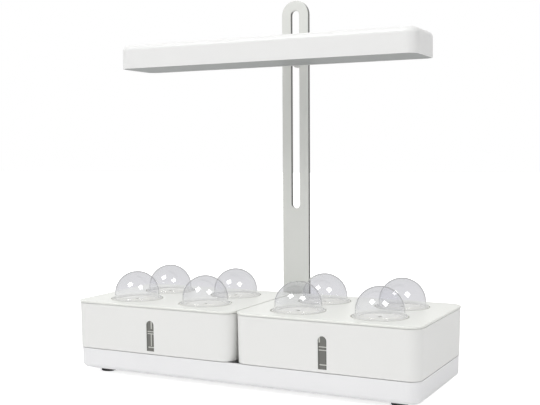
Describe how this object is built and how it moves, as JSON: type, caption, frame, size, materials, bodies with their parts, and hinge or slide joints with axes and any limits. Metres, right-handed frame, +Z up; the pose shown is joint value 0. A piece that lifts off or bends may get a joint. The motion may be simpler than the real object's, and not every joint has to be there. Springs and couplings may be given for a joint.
{
  "type": "countertop hydroponic garden",
  "caption": "Countertop hydroponic garden: lidded water tanks on a low base, planting baskets under clear domes, and a grow lamp clamped on a slotted post.",
  "frame": {"origin": "on the surface it stands on, below the middle of the whole object", "axes": "+X to the right along the tanks, +Y to the rear where the post stands, +Z up"},
  "size_m": [0.431, 0.1898, 0.4518],
  "materials": {
    "white_abs": "moulded, satin",
    "clear_ps": "clear, polished",
    "window_clear": "clear, polished",
    "rubber_black": "matt",
    "post_coated": "powder coated, satin",
    "steel": "zinc plated",
    "brass": "turned",
    "diffuser": "frosted",
    "led_board_metal": "white solder mask",
    "emitter": "phosphor",
    "circuit_board": "solder mask",
    "sponge_foam": "open-cell foam",
    "inlet_black": "moulded",
    "button_grey": "moulded"
  },
  "bodies": {
    "base": {"base_tray": "white_abs", "foot_front_left": "rubber_black", "foot_front_right": "rubber_black", "foot_rear_left": "rubber_black", "foot_rear_right": "rubber_black", "light_post": "post_coated", "post_screws": "steel"},
    "tank_left_body": {"tank_left": "white_abs", "level_window_left": "window_clear", "window_seal_left": "rubber_black"},
    "lid_left_body": {"lid_left": "white_abs"},
    "tank_right_body": {"tank_right": "white_abs", "level_window_right": "window_clear", "window_seal_right": "rubber_black"},
    "lid_right_body": {"lid_right": "white_abs"},
    "basket_1_body": {"grow_basket_1": "white_abs", "grow_sponge_1": "sponge_foam"},
    "dome_1_body": {"dome_1": "clear_ps"},
    "basket_2_body": {"grow_basket_2": "white_abs", "grow_sponge_2": "sponge_foam"},
    "dome_2_body": {"dome_2": "clear_ps"},
    "basket_3_body": {"grow_basket_3": "white_abs", "grow_sponge_3": "sponge_foam"},
    "dome_3_body": {"dome_3": "clear_ps"},
    "basket_4_body": {"grow_basket_4": "white_abs", "grow_sponge_4": "sponge_foam"},
    "dome_4_body": {"dome_4": "clear_ps"},
    "basket_5_body": {"grow_basket_5": "white_abs", "grow_sponge_5": "sponge_foam"},
    "dome_5_body": {"dome_5": "clear_ps"},
    "basket_6_body": {"grow_basket_6": "white_abs", "grow_sponge_6": "sponge_foam"},
    "dome_6_body": {"dome_6": "clear_ps"},
    "basket_7_body": {"grow_basket_7": "white_abs", "grow_sponge_7": "sponge_foam"},
    "dome_7_body": {"dome_7": "clear_ps"},
    "basket_8_body": {"grow_basket_8": "white_abs", "grow_sponge_8": "sponge_foam"},
    "dome_8_body": {"dome_8": "clear_ps"},
    "lamp_body": {"lamp_housing": "white_abs", "lamp_diffuser": "diffuser", "led_board": "led_board_metal", "led_emitters": "emitter", "control_board": "circuit_board", "dc_inlet": "inlet_black", "lamp_screws": "steel", "lamp_arm": "white_abs", "arm_screws": "steel", "clamp_bolt": "steel", "clamp_washer": "steel"},
    "button_body": {"power_button": "button_grey"},
    "knob_body": {"clamp_knob": "white_abs", "knob_insert": "brass"}
  },
  "joints": [
    {"name": "lamp_height", "type": "slide", "parent": "base", "child": "lamp_body", "axis": [0, 0, 1], "range_m": [-0.177, 0.035]},
    {"name": "clamp_knob_turn", "type": "hinge", "parent": "lamp_body", "child": "knob_body", "pos_m": [0, 0.07945, 0.3875], "axis": [0, 1, 0], "range_deg": [0, 360]},
    {"name": "power_button_press", "type": "slide", "parent": "lamp_body", "child": "button_body", "axis": [0, 0, -1], "range_m": [0, 0.0012], "stiffness_N_per_m": 400, "springref_m": -0.003},
    {"name": "tank_left_lift", "type": "slide", "parent": "base", "child": "tank_left_body", "axis": [0, 0, 1], "range_m": [0, 0.03]},
    {"name": "lid_left_lift", "type": "slide", "parent": "tank_left_body", "child": "lid_left_body", "axis": [0, 0, 1], "range_m": [0, 0.06]},
    {"name": "tank_right_lift", "type": "slide", "parent": "base", "child": "tank_right_body", "axis": [0, 0, 1], "range_m": [0, 0.03]},
    {"name": "lid_right_lift", "type": "slide", "parent": "tank_right_body", "child": "lid_right_body", "axis": [0, 0, 1], "range_m": [0, 0.06]},
    {"name": "basket_1_lift", "type": "slide", "parent": "lid_left_body", "child": "basket_1_body", "axis": [0, 0, 1], "range_m": [0, 0.06]},
    {"name": "dome_1_lift", "type": "slide", "parent": "basket_1_body", "child": "dome_1_body", "axis": [0, 0, 1], "range_m": [0, 0.045]},
    {"name": "basket_2_lift", "type": "slide", "parent": "lid_left_body", "child": "basket_2_body", "axis": [0, 0, 1], "range_m": [0, 0.06]},
    {"name": "dome_2_lift", "type": "slide", "parent": "basket_2_body", "child": "dome_2_body", "axis": [0, 0, 1], "range_m": [0, 0.045]},
    {"name": "basket_3_lift", "type": "slide", "parent": "lid_left_body", "child": "basket_3_body", "axis": [0, 0, 1], "range_m": [0, 0.06]},
    {"name": "dome_3_lift", "type": "slide", "parent": "basket_3_body", "child": "dome_3_body", "axis": [0, 0, 1], "range_m": [0, 0.045]},
    {"name": "basket_4_lift", "type": "slide", "parent": "lid_left_body", "child": "basket_4_body", "axis": [0, 0, 1], "range_m": [0, 0.06]},
    {"name": "dome_4_lift", "type": "slide", "parent": "basket_4_body", "child": "dome_4_body", "axis": [0, 0, 1], "range_m": [0, 0.045]},
    {"name": "basket_5_lift", "type": "slide", "parent": "lid_right_body", "child": "basket_5_body", "axis": [0, 0, 1], "range_m": [0, 0.06]},
    {"name": "dome_5_lift", "type": "slide", "parent": "basket_5_body", "child": "dome_5_body", "axis": [0, 0, 1], "range_m": [0, 0.045]},
    {"name": "basket_6_lift", "type": "slide", "parent": "lid_right_body", "child": "basket_6_body", "axis": [0, 0, 1], "range_m": [0, 0.06]},
    {"name": "dome_6_lift", "type": "slide", "parent": "basket_6_body", "child": "dome_6_body", "axis": [0, 0, 1], "range_m": [0, 0.045]},
    {"name": "basket_7_lift", "type": "slide", "parent": "lid_right_body", "child": "basket_7_body", "axis": [0, 0, 1], "range_m": [0, 0.06]},
    {"name": "dome_7_lift", "type": "slide", "parent": "basket_7_body", "child": "dome_7_body", "axis": [0, 0, 1], "range_m": [0, 0.045]},
    {"name": "basket_8_lift", "type": "slide", "parent": "lid_right_body", "child": "basket_8_body", "axis": [0, 0, 1], "range_m": [0, 0.06]},
    {"name": "dome_8_lift", "type": "slide", "parent": "basket_8_body", "child": "dome_8_body", "axis": [0, 0, 1], "range_m": [0, 0.045]}
  ]
}
